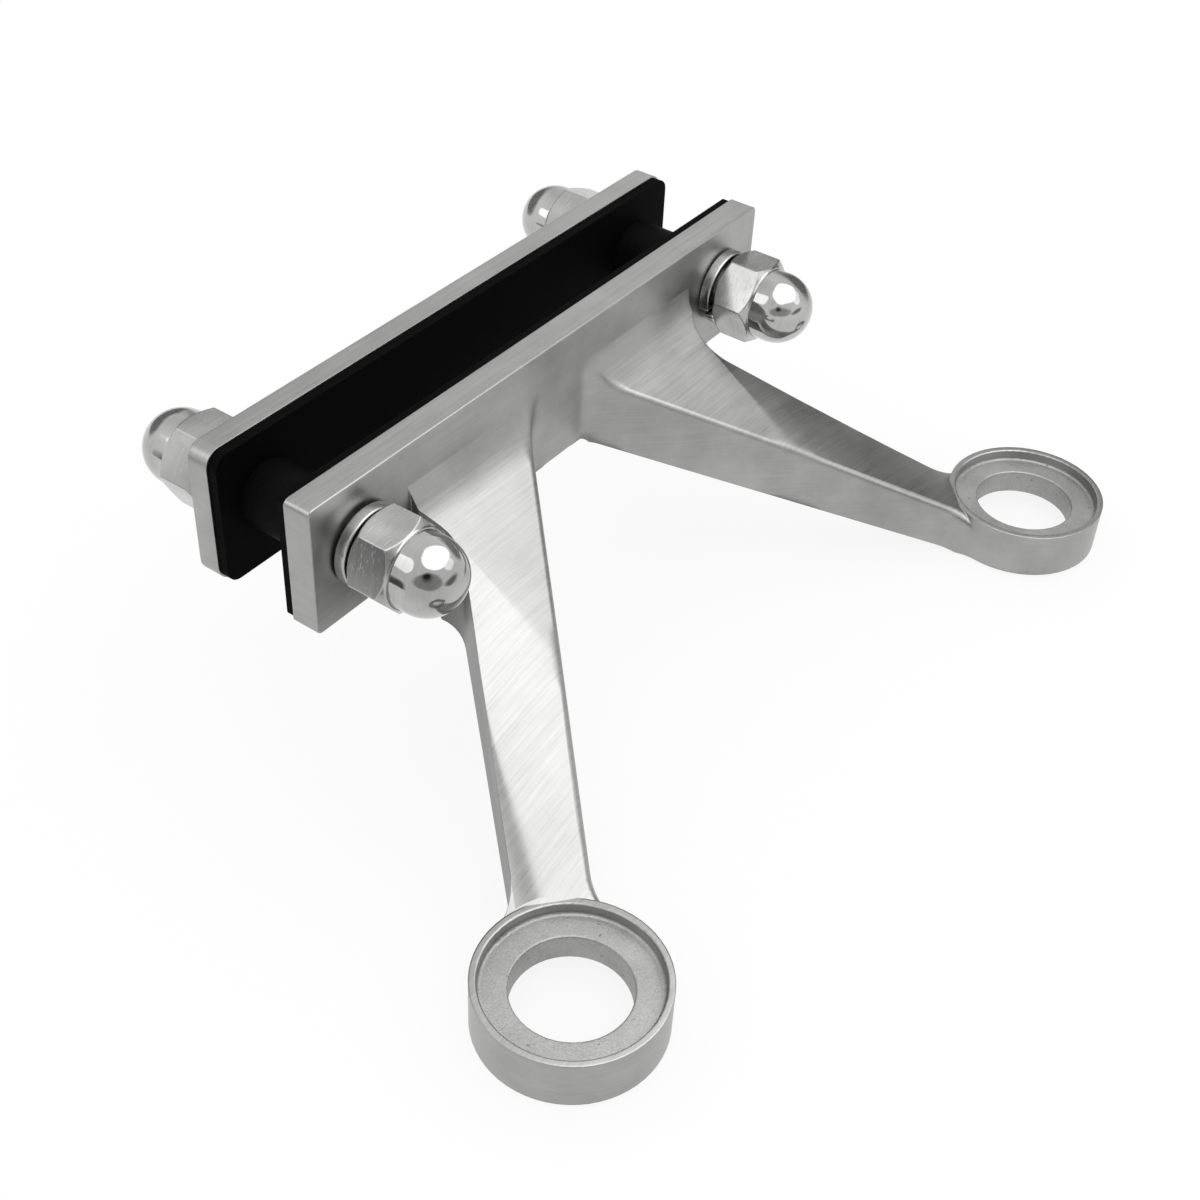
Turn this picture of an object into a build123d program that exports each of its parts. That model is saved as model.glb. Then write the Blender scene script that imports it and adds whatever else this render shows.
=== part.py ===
from build123d import *

import os
from math import asin, atan2, cos, radians, sin, sqrt, tan

os.makedirs("parts", exist_ok=True)

# A two-arm glass spider fitting that clamps on a vertical glass fin.
# X runs along the clamp plates, -Y points from the fin to the arms, +Z is up.
# The origin is the middle of the slot between the two rubber pads.

# Slot for the glass fin
fin_slot = 22.0
pad_thickness = 3.0
front_pad_inset = 0.8
rear_pad_inset = 0.5

# Front plate, cast in one with the arms
front_length = 205.0
front_height = 40.0
front_thickness = 8.5
front_corner = 2.0

# Rear plate, a little shorter than the front plate and level with its top edge
rear_end_inset = 1.0
rear_overhang = 2.0
rear_thickness = 7.0
rear_corner = 5.0
plate_edge_round = 0.5

# M16 studs, the holes they pass and the flats their washers sit on
stud_inset = 18.5
stud_radius = 8.0
stud_hole_radius = 8.75
stud_grip = 18.0
stud_end_chamfer = 1.5
spot_face_radius = 19.0

# Sleeves round the studs, between the pads
sleeve_radius = 10.0
sleeve_clearance = 0.4

# Split spring washers, each a coil of a little under one turn
washer_clearance = 0.3
washer_width = 3.5
washer_thickness = 3.5
washer_pitch = 1.5
washer_gap_angle = 12.0

# Dome nuts
nut_across_flats = 24.0
nut_hex_height = 13.0
nut_height = 27.7
nut_face_radius = 11.5
nut_chamfer_angle = 40.0
nut_bore_depth = 21.0
nut_clearance = 0.1
dome_radius = 11.1
nut_turns = {"front_left": 10.0, "front_right": -7.0, "rear_left": 3.0, "rear_right": 20.0}

# Rings that take the glass fittings
ring_spacing = 250.0
ring_reach = 100.0
ring_top = -58.5
ring_height = 15.0
ring_radius = 25.0
recess_radius = 23.0
recess_depth = 3.5
recess_foot_round = 0.8
bore_radius = 15.5
ring_edge_round = 0.4

# Arms in plan: where their walls leave the front plate's face, and their width at the ring
root_inner_x = 14.0
root_outer_x = 48.5
neck_width = 19.2
crotch_radius = 10.0
flare_radius = 10.5
neck_radius = 15.0

# The arms' rounded corners start this far inside the plate and leave its face at clear edges
root_sink = 0.1

# Arms from the side: the heights at which top and bottom leave the plate's face
root_top = 0.0
root_bottom = -22.0
cove_radius = 16.0
top_edge_round = 2.5
heel_reach = 8.0
heel_drop = 20.0

# Beyond the fold the top twists from the slope of the root to a nearly level neck
twist_reach = 76.0
twist_outer = 21.0
twist_inner = 24.0
twist_drop = 12.4
twist_tilt = 0.119

# Places across the fin
pad_y = fin_slot / 2
plate_y = pad_y + pad_thickness
front_face_y = -plate_y - front_thickness
rear_face_y = plate_y + rear_thickness
rear_length = front_length - 2 * rear_end_inset
rear_height = front_height + rear_overhang
rear_center_z = (front_height - rear_height) / 2
stud_x = front_length / 2 - stud_inset
washer_height = washer_thickness + washer_pitch * (1 - washer_gap_angle / 360)

# Places round the arms
root_y = front_face_y + root_sink
ring_bottom = ring_top - ring_height
recess_floor = ring_top - recess_depth
recess_roof = ring_bottom + recess_depth
ring_center = Vector(ring_spacing / 2, front_face_y - ring_reach)
below_rings = ring_bottom - ring_height
over_plate = front_height / 2 - front_corner


def wall_direction(root_x, side):
    # Each side wall runs straight from the plate and passes the ring's centre at half the neck's width.
    to_ring = ring_center - Vector(root_x, root_y)
    angle = atan2(to_ring.Y, to_ring.X) + side * asin(neck_width / 2 / to_ring.length)
    return Vector(cos(angle), sin(angle))


def wall_foot(root_x, side):
    # The point of the wall that is nearest the ring's centre
    root = Vector(root_x, root_y)
    direction = wall_direction(root_x, side)
    return root + direction * (ring_center - root).dot(direction)


inner_foot = wall_foot(root_inner_x, -1)
outer_foot = wall_foot(root_outer_x, 1)
root_middle = Vector((root_inner_x + root_outer_x) / 2, root_y)
arm_axis = (ring_center - root_middle).normalized()
arm_across = Vector(-arm_axis.Y, arm_axis.X)

# The flare fills the corner between the outer wall and the plate's face, and the fold runs where it starts.
outer_wall = wall_direction(root_outer_x, 1)
flare_length = flare_radius / tan(atan2(-outer_wall.Y, outer_wall.X) / 2)
flare_end_x = root_outer_x + flare_length
fold_x = flare_end_x - flare_radius
flare_y = root_y - flare_radius

# The top slopes evenly from the root to where the inner wall meets the ring.
wall_into_ring = sqrt(ring_radius**2 - (neck_width / 2) ** 2)
neck_y = (inner_foot - wall_direction(root_inner_x, -1) * wall_into_ring).Y
top_slope = (root_top - ring_top) / (root_y - neck_y)
near_edge = ring_center - arm_axis * ring_radius
neck = ring_center - arm_axis * wall_into_ring
bottom_length = (near_edge - Vector(root_inner_x, root_y)).dot(arm_axis)
bottom_slope = (root_bottom - ring_bottom) / bottom_length


def top_height(y):
    return root_top + top_slope * (y - root_y)


def over_inner_wall(x):
    direction = wall_direction(root_inner_x, -1)
    y = root_y + (x - root_inner_x) * direction.Y / direction.X
    return (x, y, top_height(y))


def root_profile(plane, end_y):
    # The plate's face, the cove and the sloping top, seen along the plates
    with BuildSketch(plane) as profile:
        with BuildLine():
            Polyline(
                (front_face_y + front_thickness / 2, below_rings),
                (front_face_y + front_thickness / 2, over_plate),
                (root_y, over_plate),
                (root_y, root_top),
                (end_y, top_height(end_y)),
                (end_y, below_rings),
                close=True,
            )
        make_face()
        fillet(vertices().sort_by_distance((root_y, root_top))[0], cove_radius)
    return profile.sketch


# Everything that may lie under the top of the arm
with BuildPart() as under_top:
    extrude(root_profile(Plane.YZ, ring_center.Y), amount=fold_x)
    extrude(root_profile(Plane.YZ.offset(fold_x), flare_y), amount=flare_length)
    twist_y = front_face_y - twist_reach
    with BuildSketch(Plane.YZ.offset(fold_x)):
        with BuildLine():
            Polyline(
                (flare_y, top_height(flare_y)),
                (twist_y, top_height(twist_y)),
                (twist_y, below_rings),
                (flare_y, below_rings),
                close=True,
            )
        make_face()
    with BuildSketch(Plane(ring_center, x_dir=arm_across, z_dir=arm_axis)):
        with BuildLine():
            Polyline(
                (twist_outer, ring_top - twist_drop - twist_tilt * twist_outer),
                (-twist_inner, ring_top - twist_drop + twist_tilt * twist_inner),
                (-twist_inner, below_rings),
                (twist_outer, below_rings),
                close=True,
            )
        make_face()
    loft(ruled=True)

with BuildPart() as arm:
    # Plan of the arm, from inside the plate to the middle of the ring
    with BuildSketch(Plane.XY.offset(below_rings)):
        with BuildLine():
            Polyline(
                (0, front_face_y + front_thickness / 2),
                (0, root_y),
                (root_inner_x, root_y),
                (inner_foot.X, inner_foot.Y),
                (outer_foot.X, outer_foot.Y),
                (root_outer_x, root_y),
                (flare_end_x + front_thickness, root_y),
                (flare_end_x + front_thickness, front_face_y + front_thickness / 2),
                close=True,
            )
        make_face()
        fillet(vertices().sort_by_distance((root_inner_x, root_y))[0], crotch_radius)
        fillet(vertices().sort_by_distance((root_outer_x, root_y))[0], flare_radius)
        with Locations((ring_center.X, ring_center.Y)):
            Circle(ring_radius)
        necks = vertices().sort_by_distance((neck.X, neck.Y))[:2]
        fillet(necks, neck_radius)
    extrude(amount=over_plate - below_rings)
    add(under_top.part, mode=Mode.INTERSECT)
    # The underside is level across the arm and falls along it to the underside of the ring.
    side_view = Plane((root_inner_x, root_y), x_dir=arm_axis, z_dir=-arm_across)
    with BuildSketch(side_view):
        with BuildLine():
            Polyline(
                (-ring_reach, root_bottom + bottom_slope * ring_reach),
                (bottom_length, ring_bottom),
                (bottom_length + ring_reach, ring_bottom),
                (bottom_length + ring_reach, below_rings),
                (-ring_reach, below_rings),
                close=True,
            )
        make_face()
    extrude(amount=ring_reach, both=True, mode=Mode.SUBTRACT)
    # A slanted heel closes the part of the root that hangs below the plate.
    heel_y = front_face_y + heel_reach * (below_rings + front_height / 2) / heel_drop
    with BuildSketch(Plane.YZ):
        with BuildLine():
            Polyline(
                (front_face_y, -front_height / 2),
                (heel_y, below_rings),
                (front_face_y + front_thickness, below_rings),
                (front_face_y + front_thickness, -front_height / 2),
                close=True,
            )
        make_face()
    extrude(amount=ring_spacing, mode=Mode.SUBTRACT)
    # The part of the plate behind the root, so that the rounding of the top can end on the plate's face
    with BuildSketch(Plane.XZ.offset(-front_face_y)):
        with Locations(((flare_end_x + front_thickness) / 2, 0)):
            Rectangle(flare_end_x + front_thickness, 2 * over_plate)
    extrude(amount=-front_thickness / 2)
    # The top rounds over into the inner wall, from the crotch to the ring.
    on_ramp = over_inner_wall((root_inner_x + fold_x) / 2)
    on_twist = over_inner_wall((fold_x + inner_foot.X) / 2)
    fillet([edges().sort_by_distance(place)[0] for place in (on_ramp, on_twist)], top_edge_round)

with BuildPart() as ring:
    # A recess above and below the web that carries the bore
    with BuildSketch(Plane.XZ):
        with BuildLine():
            Polyline(
                (ring_radius, ring_bottom),
                (ring_radius, ring_top),
                (recess_radius, ring_top),
                (recess_radius, recess_floor),
                (bore_radius, recess_floor),
                (bore_radius, recess_roof),
                (recess_radius, recess_roof),
                (recess_radius, ring_bottom),
                close=True,
            )
        make_face()
        for height, web_height in ((ring_top, recess_floor), (ring_bottom, recess_roof)):
            fillet(vertices().sort_by_distance((recess_radius, height))[0], ring_edge_round)
            fillet(vertices().sort_by_distance((bore_radius, web_height))[0], ring_edge_round)
            fillet(vertices().sort_by_distance((recess_radius, web_height))[0], recess_foot_round)
    revolve(axis=Axis.Z)

with BuildPart() as spider_casting:
    # Front plate
    with BuildSketch(Plane.XZ.offset(plate_y)):
        RectangleRounded(front_length, front_height, front_corner)
    extrude(amount=front_thickness)
    fillet(faces().sort_by(Axis.Y)[0].edges(), plate_edge_round)
    # Arms
    add(arm.part)
    mirror(arm.part, about=Plane.YZ)
    # Rings, which take the place of the arms inside the middle of their rims
    with BuildSketch(Plane.XY.offset(below_rings)):
        with Locations((ring_center.X, ring_center.Y), (-ring_center.X, ring_center.Y)):
            Circle((ring_radius + recess_radius) / 2)
    extrude(amount=over_plate - below_rings, mode=Mode.SUBTRACT)
    with Locations((ring_center.X, ring_center.Y), (-ring_center.X, ring_center.Y)):
        add(ring.part)
    # Spot faces and stud holes
    with BuildSketch(Plane.XZ.offset(-front_face_y)):
        with Locations((-stud_x, 0), (stud_x, 0)):
            Circle(spot_face_radius)
    extrude(amount=ring_reach, mode=Mode.SUBTRACT)
    with BuildSketch(Plane.XZ.offset(plate_y)):
        with Locations((-stud_x, 0), (stud_x, 0)):
            Circle(stud_hole_radius)
    extrude(amount=front_thickness, mode=Mode.SUBTRACT)

with BuildPart() as rear_plate:
    with BuildSketch(Plane.XZ.offset(-plate_y)):
        with Locations((0, rear_center_z)):
            RectangleRounded(rear_length, rear_height, rear_corner)
        with Locations((-stud_x, 0), (stud_x, 0)):
            Circle(stud_hole_radius, mode=Mode.SUBTRACT)
    extrude(amount=-rear_thickness)
    outline = faces().sort_by(Axis.Y)[-1].outer_wire().edges()
    fillet(outline, plate_edge_round)

with BuildPart() as front_pad:
    with BuildSketch(Plane.XZ.offset(pad_y)):
        RectangleRounded(
            front_length - 2 * front_pad_inset,
            front_height - 2 * front_pad_inset,
            front_corner - front_pad_inset,
        )
        with Locations((-stud_x, 0), (stud_x, 0)):
            Circle(stud_hole_radius, mode=Mode.SUBTRACT)
    extrude(amount=pad_thickness)

with BuildPart() as rear_pad:
    with BuildSketch(Plane.XZ.offset(-pad_y)):
        with Locations((0, rear_center_z)):
            RectangleRounded(
                rear_length - 2 * rear_pad_inset,
                rear_height - 2 * rear_pad_inset,
                rear_corner - rear_pad_inset,
            )
        with Locations((-stud_x, 0), (stud_x, 0)):
            Circle(stud_hole_radius, mode=Mode.SUBTRACT)
    extrude(amount=-pad_thickness)

for piece, name in (
    (spider_casting, "spider_casting"),
    (rear_plate, "rear_plate"),
    (front_pad, "front_pad"),
    (rear_pad, "rear_pad"),
):
    piece.part.label = name
    export_step(piece.part, f"parts/{name}.step")


def sleeve(x):
    with BuildPart() as piece:
        with BuildSketch(Plane.XZ.offset(-pad_y)):
            with Locations((x, 0)):
                Circle(sleeve_radius)
                Circle(stud_radius + sleeve_clearance, mode=Mode.SUBTRACT)
        extrude(amount=fin_slot)
    return piece.part


def stud(x):
    front_end = front_face_y - washer_height - stud_grip
    rear_end = rear_face_y + washer_height + stud_grip
    with BuildPart() as piece:
        with BuildSketch(Plane.XZ.offset(-rear_end)):
            with Locations((x, 0)):
                Circle(stud_radius)
        extrude(amount=rear_end - front_end)
        chamfer(edges().filter_by(GeomType.CIRCLE), stud_end_chamfer)
    return piece.part


def spring_washer(seat):
    # The seat's normal points away from the plate. The coil starts flat on the seat and rises to the nut.
    middle_radius = stud_radius + washer_clearance + washer_width / 2
    turn = 1 - washer_gap_angle / 360
    with BuildPart() as piece:
        with BuildLine():
            Helix(washer_pitch, washer_pitch * turn, middle_radius)
        with BuildSketch(Plane.XZ):
            with Locations((middle_radius, washer_thickness / 2)):
                Rectangle(washer_width, washer_thickness)
        sweep(is_frenet=True)
    return seat.location * piece.part


def dome_nut(seat, corner_angle):
    corner_radius = nut_across_flats / 2 / cos(radians(30))
    chamfer_height = (corner_radius - nut_face_radius) * tan(radians(nut_chamfer_angle))
    dome_start = nut_height - dome_radius
    with BuildPart() as piece:
        with BuildSketch(seat):
            RegularPolygon(corner_radius, 6, rotation=corner_angle)
        extrude(amount=nut_hex_height)
        # The corners are turned off at both ends of the hexagon.
        profile_plane = Plane(seat.origin, x_dir=seat.x_dir, z_dir=-seat.y_dir)
        with BuildSketch(profile_plane):
            with BuildLine():
                Polyline(
                    (0, 0),
                    (nut_face_radius, 0),
                    (corner_radius, chamfer_height),
                    (corner_radius, nut_hex_height - chamfer_height),
                    (nut_face_radius, nut_hex_height),
                    (0, nut_hex_height),
                    close=True,
                )
            make_face()
        revolve(axis=Axis(seat.origin, seat.z_dir), mode=Mode.INTERSECT)
        with BuildSketch(profile_plane):
            with BuildLine():
                Polyline((0, nut_height), (0, 0), (dome_radius, 0), (dome_radius, dome_start))
                RadiusArc((dome_radius, dome_start), (0, nut_height), -dome_radius)
            make_face()
        revolve(axis=Axis(seat.origin, seat.z_dir))
        with BuildSketch(seat):
            Circle(stud_radius + nut_clearance)
        extrude(amount=nut_bore_depth, mode=Mode.SUBTRACT)
    return piece.part


pieces = {}
for side, x in (("left", -stud_x), ("right", stud_x)):
    pieces[f"sleeve_{side}"] = sleeve(x)
    pieces[f"stud_{side}"] = stud(x)
    seats = {
        "front": Plane((x, front_face_y, 0), x_dir=(1, 0, 0), z_dir=(0, -1, 0)),
        "rear": Plane((x, rear_face_y, 0), x_dir=(-1, 0, 0), z_dir=(0, 1, 0)),
    }
    for end, seat in seats.items():
        place = f"{end}_{side}"
        pieces[f"washer_{place}"] = spring_washer(seat)
        pieces[f"nut_{place}"] = dome_nut(seat.offset(washer_height), nut_turns[place])

for name, piece in pieces.items():
    piece.label = name
    export_step(piece, f"parts/{name}.step")
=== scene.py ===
from math import radians

import bmesh
import bpy
from mathutils import Matrix, Vector


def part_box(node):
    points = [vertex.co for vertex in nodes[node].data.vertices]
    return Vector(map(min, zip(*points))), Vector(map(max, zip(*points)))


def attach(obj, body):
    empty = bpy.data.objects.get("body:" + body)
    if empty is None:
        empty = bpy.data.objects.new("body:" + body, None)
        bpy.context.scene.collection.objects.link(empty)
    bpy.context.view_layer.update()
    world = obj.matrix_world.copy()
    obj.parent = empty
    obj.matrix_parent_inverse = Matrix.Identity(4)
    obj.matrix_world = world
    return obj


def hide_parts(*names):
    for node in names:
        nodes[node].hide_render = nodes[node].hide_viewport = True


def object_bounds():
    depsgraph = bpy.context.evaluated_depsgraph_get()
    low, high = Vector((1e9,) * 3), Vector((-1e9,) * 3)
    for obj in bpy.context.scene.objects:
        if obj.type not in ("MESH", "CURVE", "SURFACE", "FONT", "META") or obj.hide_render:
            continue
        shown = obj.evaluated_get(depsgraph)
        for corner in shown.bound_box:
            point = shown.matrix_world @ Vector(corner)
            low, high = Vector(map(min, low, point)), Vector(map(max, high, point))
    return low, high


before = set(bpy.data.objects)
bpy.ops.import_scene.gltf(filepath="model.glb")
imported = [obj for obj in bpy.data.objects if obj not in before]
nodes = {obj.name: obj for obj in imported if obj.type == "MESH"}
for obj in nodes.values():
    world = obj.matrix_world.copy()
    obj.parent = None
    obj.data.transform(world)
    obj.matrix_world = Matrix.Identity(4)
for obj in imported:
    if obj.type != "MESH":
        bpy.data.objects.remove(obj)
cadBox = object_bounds()
print("frame loaded:", len(nodes), "nodes")


# camera, where the photograph was taken from

cameraView = {
    "place": (-0.3425, -0.2712, 0.2856),
    "turn": (49.53, -2.38, -53.98),
    "lens": 53.0,
    "sensor": 36.0,
}


def placeCamera(spec):
    data = bpy.data.cameras.new("camera")
    data.lens = spec["lens"]
    data.sensor_width = spec["sensor"]
    camera = bpy.data.objects.new("camera", data)
    camera.location = spec["place"]
    camera.rotation_euler = [radians(angle) for angle in spec["turn"]]
    bpy.context.scene.collection.objects.link(camera)
    bpy.context.scene.camera = camera


placeCamera(cameraView)
print("camera placed")


# helpers that build a finish node by node

def newFinish(name, metallic=0.0):
    material = bpy.data.materials.new(name)
    material.use_nodes = True
    tree = material.node_tree
    shader = tree.nodes["Principled BSDF"]
    shader.inputs["Metallic"].default_value = metallic
    return material, tree, shader


def feed(tree, socket, value):
    if hasattr(value, "is_linked"):
        tree.links.new(value, socket)
    else:
        socket.default_value = value


def sums(tree, operation, first, second=0.0, third=None):
    node = tree.nodes.new("ShaderNodeMath")
    node.operation = operation
    feed(tree, node.inputs[0], first)
    feed(tree, node.inputs[1], second)
    if third is not None:
        feed(tree, node.inputs[2], third)
    return node.outputs[0]


def gapBetween(tree, value, middle):
    return sums(tree, "ABSOLUTE", sums(tree, "SUBTRACT", value, middle))


def hypotenuse(tree, first, second):
    firstSquared = sums(tree, "POWER", first, 2.0)
    secondSquared = sums(tree, "POWER", second, 2.0)
    return sums(tree, "SQRT", sums(tree, "ADD", firstSquared, secondSquared))


def inverse(tree, share):
    return sums(tree, "SUBTRACT", 1.0, share)


def blendValue(tree, factor, first, second):
    node = tree.nodes.new("ShaderNodeMix")
    feed(tree, node.inputs["Factor"], factor)
    feed(tree, node.inputs["A"], first)
    feed(tree, node.inputs["B"], second)
    return node.outputs["Result"]


def blendColour(tree, factor, first, second):
    # a Mix node set to colour has its factor at input 0, and its colours at 6 and 7
    node = tree.nodes.new("ShaderNodeMix")
    node.data_type = "RGBA"
    feed(tree, node.inputs[0], factor)
    feed(tree, node.inputs[6], first)
    feed(tree, node.inputs[7], second)
    return node.outputs[2]


def ramp(tree, value, low, high, fromLow=0.0, fromHigh=1.0):
    node = tree.nodes.new("ShaderNodeMapRange")
    node.interpolation_type = "SMOOTHSTEP"
    feed(tree, node.inputs["Value"], value)
    node.inputs["From Min"].default_value = fromLow
    node.inputs["From Max"].default_value = fromHigh
    node.inputs["To Min"].default_value = low
    node.inputs["To Max"].default_value = high
    return node.outputs["Result"]


def varied(tree, middle, spread, noise):
    # a value that the noise moves up and down round its middle
    return sums(tree, "MULTIPLY_ADD", noise, spread, middle - spread / 2)


def grain(tree, perMetre, detail=3.0, roughness=0.6):
    # noise with its own fineness along X, Y and Z, so that it draws out into lines
    coords = tree.nodes.new("ShaderNodeTexCoord")
    mapping = tree.nodes.new("ShaderNodeMapping")
    mapping.inputs["Scale"].default_value = perMetre
    noise = tree.nodes.new("ShaderNodeTexNoise")
    noise.inputs["Scale"].default_value = 1.0
    noise.inputs["Detail"].default_value = detail
    noise.inputs["Roughness"].default_value = roughness
    tree.links.new(coords.outputs["Object"], mapping.inputs["Vector"])
    tree.links.new(mapping.outputs["Vector"], noise.inputs["Vector"])
    return noise.outputs["Fac"]


def evenGrain(tree, perMetre, detail=3.0, roughness=0.6):
    return grain(tree, (perMetre, perMetre, perMetre), detail, roughness)


def splitVector(tree, vector):
    split = tree.nodes.new("ShaderNodeSeparateXYZ")
    tree.links.new(vector, split.inputs[0])
    return split.outputs


def place(tree):
    return splitVector(tree, tree.nodes.new("ShaderNodeTexCoord").outputs["Object"])


def facing(tree):
    return splitVector(tree, tree.nodes.new("ShaderNodeNewGeometry").outputs["Normal"])


def greyRamp(tree, value, dark, light):
    node = tree.nodes.new("ShaderNodeValToRGB")
    node.color_ramp.elements[0].color = (*dark, 1.0)
    node.color_ramp.elements[1].color = (*light, 1.0)
    feed(tree, node.inputs["Fac"], value)
    return node.outputs["Color"]


def raised(tree, shader, height, distance, edgeRadius=None):
    # bump by a height in metres when the distance is 1, on edges rounded in shading
    bump = tree.nodes.new("ShaderNodeBump")
    bump.inputs["Distance"].default_value = distance
    feed(tree, bump.inputs["Height"], height)
    if edgeRadius is not None:
        edge = tree.nodes.new("ShaderNodeBevel")
        edge.samples = 8
        feed(tree, edge.inputs["Radius"], edgeRadius)
        tree.links.new(edge.outputs["Normal"], bump.inputs["Normal"])
    tree.links.new(bump.outputs["Normal"], shader.inputs["Normal"])


# brushed stainless steel of the casting and the rear plate

brushedSteel = {
    "dark": (0.295, 0.295, 0.29),
    "light": (0.435, 0.435, 0.43),
    "toneRange": (0.28, 0.72),
    "fineLines": {"along": 70, "across": 3600, "detail": 2.0},
    "coarseLines": {"along": 26, "across": 1300, "detail": 3.0},
    "lineDepth": 0.000005,
    "lineShareTop": 0.62,
    "lineShareWall": 0.3,
    "clouds": 34,
    "wallRange": (0.25, 0.6),
    "roughness": (0.27, 0.35),
    "roughnessRange": (0.35, 0.65),
    "wallRoughness": 0.06,
    "edgeRadius": 0.0003,
}

# what only the casting has: painted shade on the outward-facing walls of the arms, and rings left
# as cast inside
castingSteel = {
    "armsStart": -0.0228,
    # share of the colour that the painted shade on the outer walls of the arms keeps, and the
    # facing range where it sets in
    "outerPaintedShade": 0.45,
    "outerShadeRange": (0.4, 0.7),
    "rimRadius": 0.0007,
    "webDark": (0.28, 0.28, 0.275),
    "webLight": (0.47, 0.47, 0.465),
    "webRange": (0.3, 0.7),
    "webRoughness": 0.5,
    "skin": 1900,
    "pits": 520,
    "pitRange": (0.22, 0.28),
    "pitDark": 0.7,
    "pitDepth": 1.2,
    "castDepth": 0.00009,
}

rings = {
    "x": 0.125,
    "y": -0.1225,
    "z": -0.066,
    "outside": 0.0256,
    "recess": 0.0229,
    "web": 0.0046,
}


def makeRingMasks(tree, spec):
    # the whole ring, and the recesses and bore inside it
    x, y, z = place(tree)
    outX = sums(tree, "SUBTRACT", sums(tree, "ABSOLUTE", x), spec["x"])
    outY = sums(tree, "SUBTRACT", y, spec["y"])
    fromMiddle = hypotenuse(tree, outX, outY)
    web = sums(tree, "LESS_THAN", gapBetween(tree, z, spec["z"]), spec["web"])
    inside = sums(tree, "LESS_THAN", fromMiddle, spec["recess"])
    ring = sums(tree, "LESS_THAN", fromMiddle, spec["outside"])
    return ring, sums(tree, "MULTIPLY", inside, web)


# where the casting's inner corners and the folds of the arms are softer than its edges

softCorners = {
    "crotchX": 0.0165,
    "crotchY": -0.0235,
    "crotchTop": (0.011, 0.0165),
    "crotchReach": 0.012,
    "crotchRadius": 0.0045,
    "foldX": 0.06145,
    "foldReach": 0.007,
    "foldRadius": 0.004,
    "foldSharpY": -0.042,
    "foldSoftY": -0.062,
}


def makeCornerRadius(tree, spec):
    x, y, z = place(tree)
    outX = sums(tree, "ABSOLUTE", x)
    crotchOutX = sums(tree, "SUBTRACT", outX, spec["crotchX"])
    crotchOutY = sums(tree, "SUBTRACT", y, spec["crotchY"])
    fromCrotch = hypotenuse(tree, crotchOutX, crotchOutY)
    reach = spec["crotchReach"]
    crotch = ramp(tree, fromCrotch, spec["crotchRadius"], 0.0, reach / 2, reach)
    crotch = sums(tree, "MULTIPLY", crotch, ramp(tree, z, 1.0, 0.0, *spec["crotchTop"]))
    reach = spec["foldReach"]
    fromFold = gapBetween(tree, outX, spec["foldX"])
    fold = ramp(tree, fromFold, spec["foldRadius"], 0.0, reach / 2, reach)
    fading = ramp(tree, y, 1.0, 0.0, spec["foldSoftY"], spec["foldSharpY"])
    return sums(tree, "MULTIPLY_ADD", fold, fading, crotch)


# where the belt has softened the outer edge of the left arm, more and more towards its ring

neckRoll = {
    "rootX": 0.0485,
    "rootY": -0.0224,
    "alongX": 0.666,
    "alongY": -0.746,
    "starts": 0.05,
    "full": 0.1,
    "width": 0.0095,
    "leastWidth": 0.0002,
    "depth": 0.0024,
}


def makeNeckRoll(tree, spec):
    x, y, _ = place(tree)
    outX = sums(tree, "SUBTRACT", sums(tree, "ABSOLUTE", x), spec["rootX"])
    outY = sums(tree, "SUBTRACT", y, spec["rootY"])
    along = sums(tree, "MULTIPLY_ADD", outX, spec["alongX"],
                 sums(tree, "MULTIPLY", outY, spec["alongY"]))
    inward = sums(tree, "MULTIPLY_ADD", outX, spec["alongY"],
                  sums(tree, "MULTIPLY", outY, -spec["alongX"]))
    grown = ramp(tree, along, 0.0, 1.0, spec["starts"], spec["full"])
    grown = sums(tree, "MULTIPLY", grown, sums(tree, "LESS_THAN", x, 0.0))
    width = sums(tree, "MULTIPLY_ADD", grown, spec["width"], spec["leastWidth"])
    share = sums(tree, "MAXIMUM", sums(tree, "DIVIDE", inward, width), 0.0)
    lost = sums(tree, "POWER", inverse(tree, sums(tree, "MINIMUM", share, 1.0)), 2.0)
    return sums(tree, "MULTIPLY", sums(tree, "MULTIPLY", lost, grown), -spec["depth"])


def brushLines(tree, wall, spec):
    # the belt ran along the plates: sheets of one Y draw its lines on a top, and
    # sheets of one Z on a wall
    along, across = spec["along"], spec["across"]
    onTop = grain(tree, (along, across, along), spec["detail"])
    onWall = grain(tree, (along, along, across), spec["detail"])
    return blendValue(tree, wall, onTop, onWall)


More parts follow.
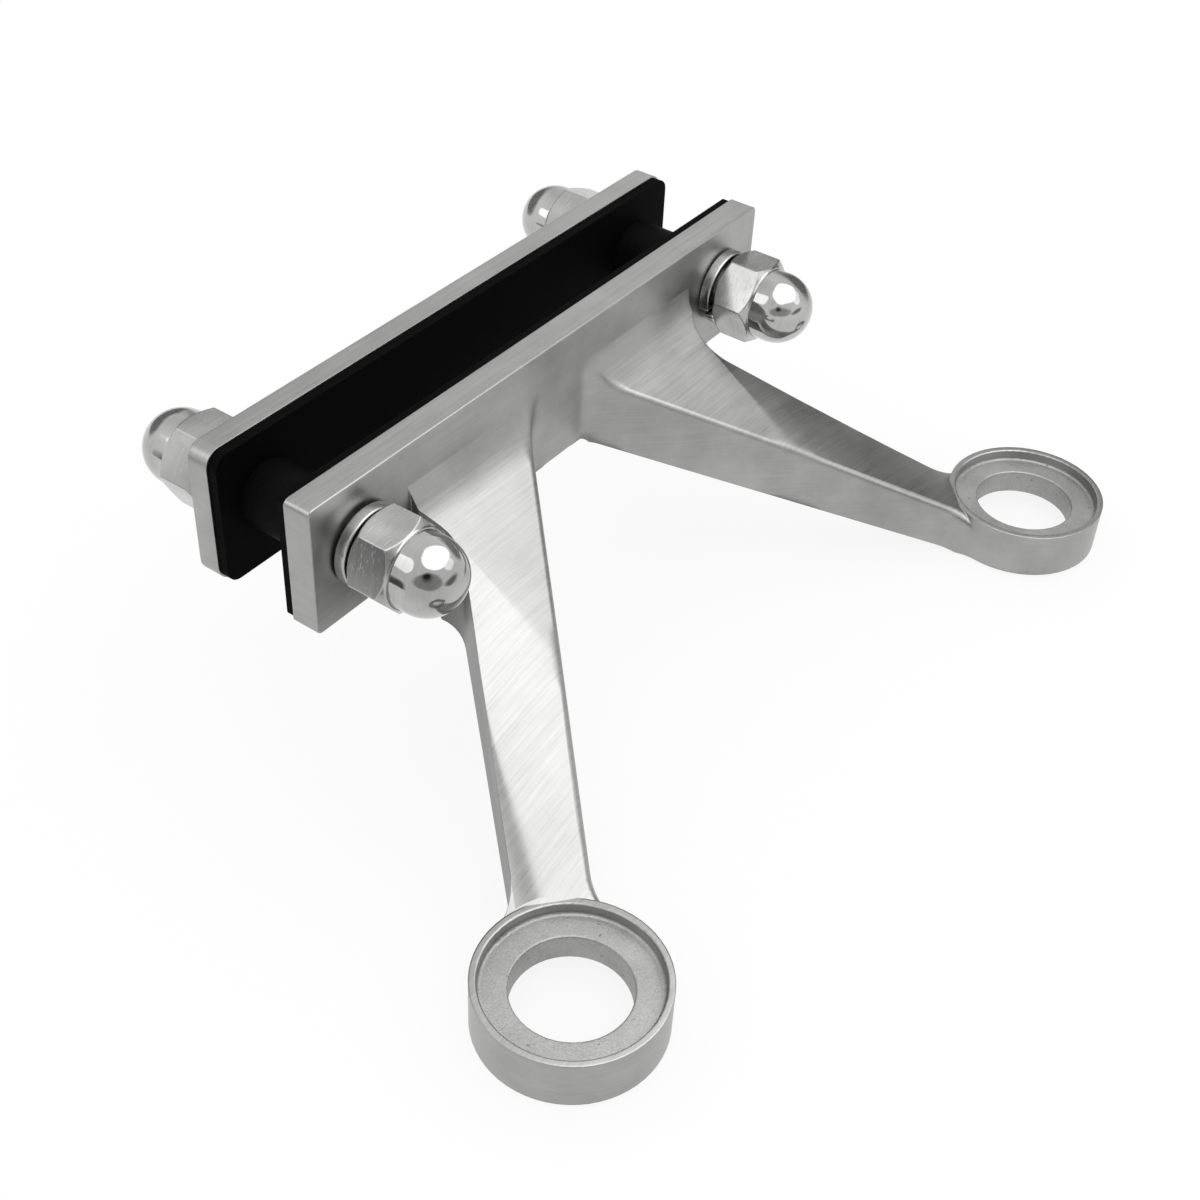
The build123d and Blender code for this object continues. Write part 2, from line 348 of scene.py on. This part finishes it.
def makeBrushedSteel(name, spec, casting=None):
    material, tree, shader = newFinish(name, 1.0)
    normal = facing(tree)
    wall = ramp(tree, sums(tree, "ABSOLUTE", normal[2]), 1.0, 0.0, *spec["wallRange"])
    fine = brushLines(tree, wall, spec["fineLines"])
    coarse = brushLines(tree, wall, spec["coarseLines"])
    lines = blendValue(tree, 0.5, fine, coarse)
    clouds = evenGrain(tree, spec["clouds"], 4.0, 0.65)
    lineShare = blendValue(tree, wall, spec["lineShareTop"], spec["lineShareWall"])
    tone = blendValue(tree, lineShare, clouds, lines)
    roughness = ramp(tree, tone, *spec["roughness"], *spec["roughnessRange"])
    roughness = sums(tree, "MULTIPLY_ADD", wall, spec["wallRoughness"], roughness)
    height = sums(tree, "MULTIPLY", sums(tree, "MULTIPLY", lines, lineShare), spec["lineDepth"])
    shownTone = ramp(tree, tone, 0.0, 1.0, *spec["toneRange"])
    colour = greyRamp(tree, shownTone, spec["dark"], spec["light"])
    radius = spec["edgeRadius"]
    if casting:
        ring, cast = makeRingMasks(tree, rings)
        # painted shade: the colour of the arms' outward-facing walls, away from the rings, is
        # darkened
        x, y, _ = place(tree)
        outward = sums(tree, "MULTIPLY", sums(tree, "SIGN", x), normal[0])
        outerShadeMask = ramp(tree, outward, 0.0, 1.0, *casting["outerShadeRange"])
        onArms = sums(tree, "LESS_THAN", y, casting["armsStart"])
        outerShadeMask = sums(tree, "MULTIPLY", outerShadeMask, onArms)
        outerShadeMask = sums(tree, "MULTIPLY", outerShadeMask, inverse(tree, ring))
        # the share of the colour left after the painted shade
        unshadedShare = inverse(tree, sums(tree, "MULTIPLY", outerShadeMask, 1 - casting["outerPaintedShade"]))
        colour = blendColour(tree, unshadedShare, (0.0, 0.0, 0.0, 1.0), colour)
        # skin and pits of the cast faces inside the rings
        skin = evenGrain(tree, casting["skin"], 4.0, 0.7)
        pitNoise = evenGrain(tree, casting["pits"], 1.0)
        pits = ramp(tree, pitNoise, 1.0, 0.0, *casting["pitRange"])
        castTone = blendValue(tree, 0.5, clouds, skin)
        castTone = ramp(tree, castTone, 0.0, 1.0, *casting["webRange"])
        pitTone = sums(tree, "MULTIPLY", pits, casting["pitDark"])
        castTone = sums(tree, "SUBTRACT", castTone, pitTone)
        castColour = greyRamp(tree, castTone, casting["webDark"], casting["webLight"])
        castHeight = sums(tree, "MULTIPLY_ADD", pits, -casting["pitDepth"], skin)
        castHeight = sums(tree, "MULTIPLY", castHeight, casting["castDepth"])
        colour = blendColour(tree, cast, colour, castColour)
        roughness = blendValue(tree, cast, roughness, casting["webRoughness"])
        softened = inverse(tree, sums(tree, "MAXIMUM", wall, ring))
        neck = makeNeckRoll(tree, neckRoll)
        height = sums(tree, "MULTIPLY_ADD", neck, softened, height)
        height = blendValue(tree, cast, height, castHeight)
        radius = sums(tree, "ADD", makeCornerRadius(tree, softCorners), radius)
        radius = blendValue(tree, ring, radius, casting["rimRadius"])
    feed(tree, shader.inputs["Base Color"], colour)
    feed(tree, shader.inputs["Roughness"], roughness)
    raised(tree, shader, height, 1.0, radius)
    return material


# polished dome nuts, with flats that keep the marks of a spanner

nutSteel = {
    "dark": (0.34, 0.34, 0.335),
    "light": (0.54, 0.54, 0.535),
    "middle": -0.00075,
    "dome": 0.0397,
    "domeEdge": 0.0004,
    "toneRange": (0.25, 0.75),
    "toneTop": 0.9,
    "marks": (150, 900, 150),
    "markShare": 0.2,
    "waves": (95, 60, 95),
    "waveDepth": 0.0009,
    "scratches": (330, 2600, 520),
    "scratchRange": (0.66, 0.72),
    "scratchLight": 0.5,
    "scratchDepth": 0.00002,
    "domeRoughness": (0.09, 0.1),
    "flatRoughness": (0.18, 0.05),
    "edgeRadius": 0.0006,
}


def makeNutSteel(name, spec):
    material, tree, shader = newFinish(name, 1.0)
    alongStud = gapBetween(tree, place(tree)[1], spec["middle"])
    edge = spec["domeEdge"]
    dome = ramp(tree, alongStud, 0.0, 1.0, spec["dome"] - edge, spec["dome"] + edge)
    waves = grain(tree, spec["waves"], 1.5)
    marks = grain(tree, spec["marks"])
    scratches = ramp(tree, grain(tree, spec["scratches"], 1.0), 0.0, 1.0, *spec["scratchRange"])
    scratches = sums(tree, "MULTIPLY", scratches, inverse(tree, dome))
    tone = blendValue(tree, spec["markShare"], waves, marks)
    tone = ramp(tree, tone, 0.0, spec["toneTop"], *spec["toneRange"])
    tone = sums(tree, "MULTIPLY_ADD", scratches, spec["scratchLight"], tone)
    feed(tree, shader.inputs["Base Color"], greyRamp(tree, tone, spec["dark"], spec["light"]))
    flat = varied(tree, *spec["flatRoughness"], marks)
    polish = varied(tree, *spec["domeRoughness"], waves)
    feed(tree, shader.inputs["Roughness"], blendValue(tree, dome, flat, polish))
    swell = sums(tree, "MULTIPLY", sums(tree, "MULTIPLY", waves, dome), spec["waveDepth"])
    cuts = sums(tree, "MULTIPLY", scratches, -spec["scratchDepth"])
    raised(tree, shader, sums(tree, "ADD", swell, cuts), 1.0, spec["edgeRadius"])
    return material


# plain steel of the spring washers and the studs

plainSteel = {
    "dark": (0.34, 0.34, 0.335),
    "light": (0.54, 0.54, 0.535),
    "drawn": (700, 1800, 700),
    "drawnDepth": 0.00002,
    "roughness": (0.24, 0.2),
    "edgeRadius": 0.0005,
}


def makePlainSteel(name, spec):
    material, tree, shader = newFinish(name, 1.0)
    drawn = grain(tree, spec["drawn"])
    feed(tree, shader.inputs["Base Color"], greyRamp(tree, drawn, spec["dark"], spec["light"]))
    feed(tree, shader.inputs["Roughness"], varied(tree, *spec["roughness"], drawn))
    raised(tree, shader, drawn, spec["drawnDepth"], spec["edgeRadius"])
    return material


# black rubber pads

blackRubber = {
    "dark": (0.0006, 0.0006, 0.0006),
    "light": (0.0025, 0.0025, 0.0025),
    "specular": 0.04,
    "speckle": 2600,
    "speckleDepth": 0.00003,
    "smears": (40, 60, 60),
    "roughness": (0.7, 0.2),
}


def makeRubber(name, spec):
    material, tree, shader = newFinish(name)
    shader.inputs["Specular IOR Level"].default_value = spec["specular"]
    speckle = evenGrain(tree, spec["speckle"], 4.0)
    smears = grain(tree, spec["smears"])
    tone = blendValue(tree, 0.5, smears, speckle)
    feed(tree, shader.inputs["Base Color"], greyRamp(tree, tone, spec["dark"], spec["light"]))
    feed(tree, shader.inputs["Roughness"], varied(tree, *spec["roughness"], smears))
    raised(tree, shader, speckle, spec["speckleDepth"])
    return material


# black nylon sleeves round the studs

blackNylon = {
    "dark": (0.001, 0.001, 0.001),
    "light": (0.004, 0.004, 0.004),
    "specular": 0.06,
    "turned": (60, 2400, 60),
    "turnedDepth": 0.00006,
    "roughness": (0.6, 0.2),
}


def makeNylon(name, spec):
    material, tree, shader = newFinish(name)
    shader.inputs["Specular IOR Level"].default_value = spec["specular"]
    turned = grain(tree, spec["turned"], 2.0)
    feed(tree, shader.inputs["Base Color"], greyRamp(tree, turned, spec["dark"], spec["light"]))
    feed(tree, shader.inputs["Roughness"], varied(tree, *spec["roughness"], turned))
    raised(tree, shader, turned, spec["turnedDepth"])
    return material


def dress(node, material):
    mesh = nodes[node].data
    mesh.materials.clear()
    mesh.materials.append(material)


brushedCasting = makeBrushedSteel("brushed casting", brushedSteel, castingSteel)
brushedPlate = makeBrushedSteel("brushed plate", brushedSteel)
polishedNut = makeNutSteel("polished nut", nutSteel)
plainWire = makePlainSteel("plain steel", plainSteel)
padRubber = makeRubber("black rubber", blackRubber)
sleeveNylon = makeNylon("black nylon", blackNylon)

finishes = {
    "spider_casting": brushedCasting,
    "rear_plate": brushedPlate,
    "front_pad": padRubber,
    "rear_pad": padRubber,
}
for node in nodes:
    if node.startswith("nut"):
        finishes[node] = polishedNut
    elif node.startswith("stud"):
        finishes[node] = plainWire
    elif node.startswith("sleeve"):
        finishes[node] = sleeveNylon
for node, material in finishes.items():
    dress(node, material)
print("finishes given")


# spring washers, each a coil of square wire that is split in one place

washerShape = {
    "bore": 0.0083,
    "wire": 0.0035,
    "rise": 0.0015,
    "gap": 12.0,
    "steps": 116,
    "rounding": 0.0005,
    "roundingSteps": 3,
    "sharpFrom": 60,
    "splits": {"front_left": 330.0, "front_right": 204.0, "rear_left": 250.0, "rear_right": 300.0},
}


def coilWasher(where, spec):
    low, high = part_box("washer_" + where)
    outward = -1.0 if where.startswith("front") else 1.0
    seat = high[1] if outward < 0 else low[1]
    centre = Vector(((low[0] + high[0]) / 2, seat, (low[2] + high[2]) / 2))
    wire = spec["wire"]
    sweep = 360.0 - spec["gap"]
    rise = outward * spec["rise"] * sweep / 360.0 / spec["steps"]
    bm = bmesh.new()
    bmesh.ops.create_grid(bm, x_segments=1, y_segments=1, size=wire / 2)
    outset = (spec["bore"] + wire / 2, outward * wire / 2, 0)
    bmesh.ops.translate(bm, verts=bm.verts, vec=outset)
    start = radians(spec["splits"][where] - spec["gap"] / 2)
    turn = Matrix.Rotation(-start, 3, "Y")
    bmesh.ops.rotate(bm, verts=bm.verts, cent=(0, 0, 0), matrix=turn)
    bmesh.ops.translate(bm, verts=bm.verts, vec=centre)
    section = bm.verts[:] + bm.edges[:] + bm.faces[:]
    bmesh.ops.spin(bm, geom=section, cent=centre, axis=(0, 1, 0), dvec=(0, rise, 0),
                   angle=radians(sweep), steps=spec["steps"], use_merge=False)
    bmesh.ops.recalc_face_normals(bm, faces=bm.faces[:])
    sharpAngle = radians(spec["sharpFrom"])
    sharp = [edge for edge in bm.edges if edge.calc_face_angle(0.0) > sharpAngle]
    bmesh.ops.bevel(bm, geom=sharp, offset=spec["rounding"], offset_type="OFFSET",
                    segments=spec["roundingSteps"], profile=0.5, affect="EDGES", material=-1)
    return bm


def finishPiece(bm, name, material, node, smoothUpTo=35):
    bmesh.ops.recalc_face_normals(bm, faces=bm.faces[:])
    mesh = bpy.data.meshes.new(name)
    bm.to_mesh(mesh)
    bm.free()
    mesh.shade_smooth()
    mesh.set_sharp_from_angle(angle=radians(smoothUpTo))
    mesh.materials.append(material)
    piece = bpy.data.objects.new(name, mesh)
    bpy.context.scene.collection.objects.link(piece)
    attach(piece, "root")
    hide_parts(node)


for where in washerShape["splits"]:
    coil = coilWasher(where, washerShape)
    finishPiece(coil, "spring_washer_" + where, plainWire, "washer_" + where)
print("washers coiled")


# floor, sky, lamps and cards of the studio

studio = {
    "floorSize": 8.0,
    "floorDrop": 0.001,
    "floorColour": (0.95, 0.95, 0.95),
    "floorWhite": 0.86,
    "skyLevel": 1.08,
    "mattRoughness": 0.9,
}

lamps = [
    {"name": "overhead", "place": (0.05, -0.25, 0.45), "aim": (0.05, -0.25, 0),
     "size": (0.78, 0.6), "watts": 1.85},
    {"name": "front", "place": (0.6, -1.1, 0.9), "aim": (0, -0.05, 0),
     "size": (0.8, 0.8), "watts": 1.2},
    {"name": "window", "place": (-0.76, 0.47, 0.7), "aim": (0, 0, 0),
     "size": (0.6, 0.6), "watts": 1.0},
]

# cards that only the metal mirrors; soft is the share of the radius where one starts to fade
cards = [
    {"name": "card right", "place": (1.3, -0.05, 0.32), "size": (1.9, 1.4),
     "grey": 0.25, "soft": 0.4},
    {"name": "card camera", "place": (-0.75, -0.6, 0.5), "size": (0.55, 0.5),
     "grey": 0.03, "soft": 0.3},
    {"name": "card room", "place": (-1.0, -0.9, 0.4), "size": (2.4, 1.1),
     "grey": 0.42, "soft": 0.6},
    {"name": "card back", "place": (0.25, 1.1, 0.3), "size": (2.2, 1.15),
     "grey": 0.25, "soft": 0.5},
    {"name": "card low left", "place": (-0.52, 0.23, -0.05), "size": (0.5, 0.24),
     "grey": 0.12, "soft": 0.4},
    {"name": "card front", "place": (0.25, -1.3, 0.12), "size": (1.5, 0.5),
     "grey": 0.2, "soft": 0.3},
]


def isSeenDirectly(tree):
    path = tree.nodes.new("ShaderNodeLightPath")
    shown = sums(tree, "MAXIMUM", path.outputs["Is Camera Ray"], path.outputs["Is Glossy Ray"])
    return sums(tree, "MAXIMUM", shown, path.outputs["Is Transmission Ray"])


def mixSurfaces(tree, factor, first, second):
    mix = tree.nodes.new("ShaderNodeMixShader")
    feed(tree, mix.inputs[0], factor)
    tree.links.new(first.outputs[0], mix.inputs[1])
    tree.links.new(second.outputs[0], mix.inputs[2])
    tree.links.new(mix.outputs[0], tree.nodes["Material Output"].inputs["Surface"])


def makeFloor(spec):
    level = cadBox[0][2] - spec["floorDrop"]
    bpy.ops.mesh.primitive_plane_add(size=spec["floorSize"], location=(0, 0, level))
    floor = bpy.context.object
    floor.name = "floor"
    material, tree, shader = newFinish("pale floor")
    shader.inputs["Base Color"].default_value = (*spec["floorColour"], 1.0)
    shader.inputs["Roughness"].default_value = spec["mattRoughness"]
    white = tree.nodes.new("ShaderNodeEmission")
    white.inputs["Strength"].default_value = 1.0
    whitened = sums(tree, "MULTIPLY", isSeenDirectly(tree), spec["floorWhite"])
    mixSurfaces(tree, whitened, shader, white)
    floor.data.materials.append(material)


def makeSky(spec):
    world = bpy.data.worlds.new("studio")
    world.use_nodes = True
    tree = world.node_tree
    background = tree.nodes["Background"]
    background.inputs["Color"].default_value = (1.0, 1.0, 1.0, 1.0)
    strength = blendValue(tree, isSeenDirectly(tree), spec["skyLevel"], 1.0)
    feed(tree, background.inputs["Strength"], strength)
    bpy.context.scene.world = world


def hangLamp(spec):
    # an oval panel whose shine the metal shows; the sky does the rest
    data = bpy.data.lights.new(spec["name"], "AREA")
    data.shape = "ELLIPSE"
    data.size, data.size_y = spec["size"]
    data.energy = spec["watts"]
    lamp = bpy.data.objects.new(spec["name"], data)
    lamp.location = spec["place"]
    aim = Vector(spec["aim"]) - Vector(spec["place"])
    lamp.rotation_euler = aim.to_track_quat("-Z", "Y").to_euler()
    lamp.visible_camera = False
    lamp.visible_diffuse = False
    bpy.context.scene.collection.objects.link(lamp)


def hangCard(spec, roughness):
    # the plane is 2 wide before it is scaled, so that its pattern's rim lies at 1
    bpy.ops.mesh.primitive_plane_add(size=2.0)
    card = bpy.context.object
    card.name = spec["name"]
    card.scale = (spec["size"][0] / 2, spec["size"][1] / 2, 1.0)
    card.location = spec["place"]
    card.rotation_euler = (-Vector(spec["place"])).to_track_quat("Z", "Y").to_euler()
    material, tree, shader = newFinish(spec["name"])
    grey = spec["grey"]
    shader.inputs["Base Color"].default_value = (grey, grey, grey, 1.0)
    shader.inputs["Roughness"].default_value = roughness
    shader.inputs["Specular IOR Level"].default_value = 0.0
    x, y, _ = place(tree)
    fade = ramp(tree, hypotenuse(tree, x, y), 1.0, 0.0, spec["soft"], 1.0)
    mixSurfaces(tree, fade, tree.nodes.new("ShaderNodeBsdfTransparent"), shader)
    card.data.materials.append(material)
    card.visible_camera = False
    card.visible_diffuse = False
    card.visible_shadow = False


makeFloor(studio)
makeSky(studio)
for cardSpec in cards:
    hangCard(cardSpec, studio["mattRoughness"])
for lampSpec in lamps:
    hangLamp(lampSpec)
bpy.context.scene.view_settings.view_transform = "Standard"
print("studio lit")
